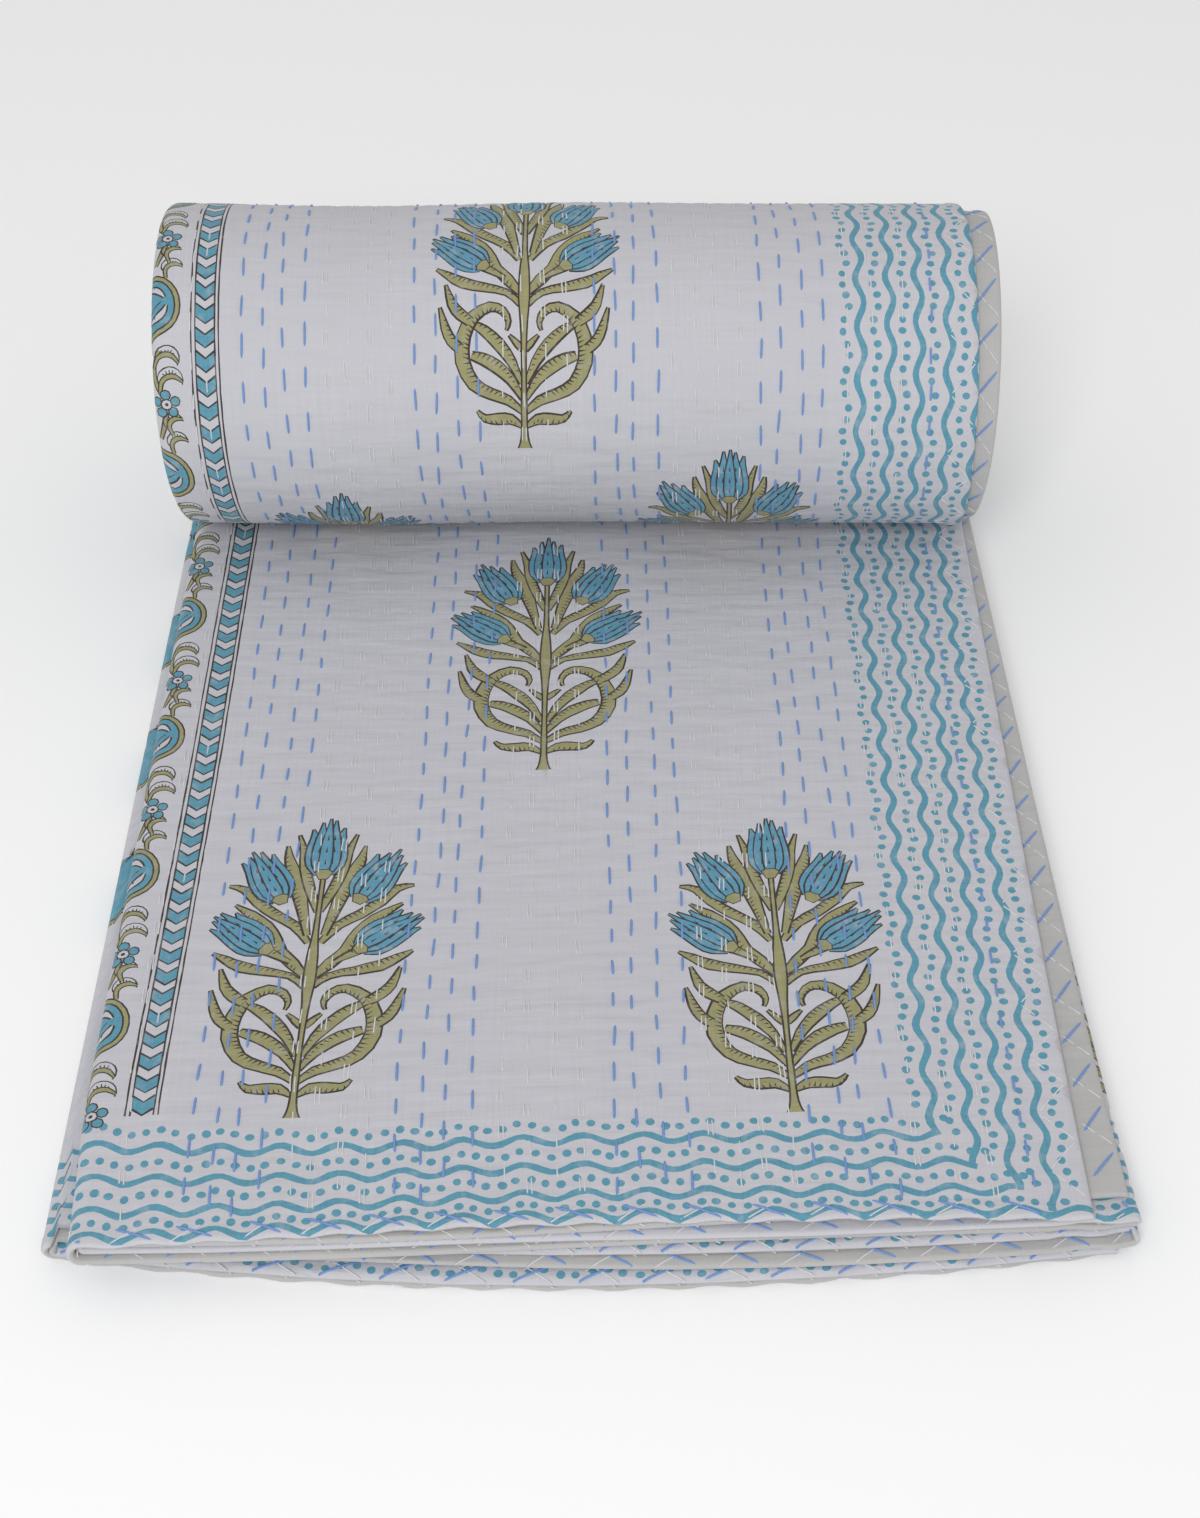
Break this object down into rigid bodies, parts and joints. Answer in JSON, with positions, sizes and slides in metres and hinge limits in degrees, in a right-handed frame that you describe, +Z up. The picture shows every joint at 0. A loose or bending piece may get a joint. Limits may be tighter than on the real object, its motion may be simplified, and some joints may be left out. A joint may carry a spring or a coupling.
{
  "type": "kantha quilt, folded and half rolled",
  "caption": "Printed cotton kantha quilt, folded to a strip of eight layers, with its far end rolled up on the near part.",
  "frame": {"origin": "on the ground, under the middle of the folded quilt's box", "axes": "+X from the long folds to the side hems, +Y from the near hems to the roll, +Z up"},
  "size_m": [0.4036, 0.5328, 0.1688],
  "materials": {
    "printed_cotton": "matte off-white cotton with a blue and olive block print, quilted in running stitch"
  },
  "bodies": {
    "root": {"quilt": "printed_cotton"}
  },
  "joints": []
}
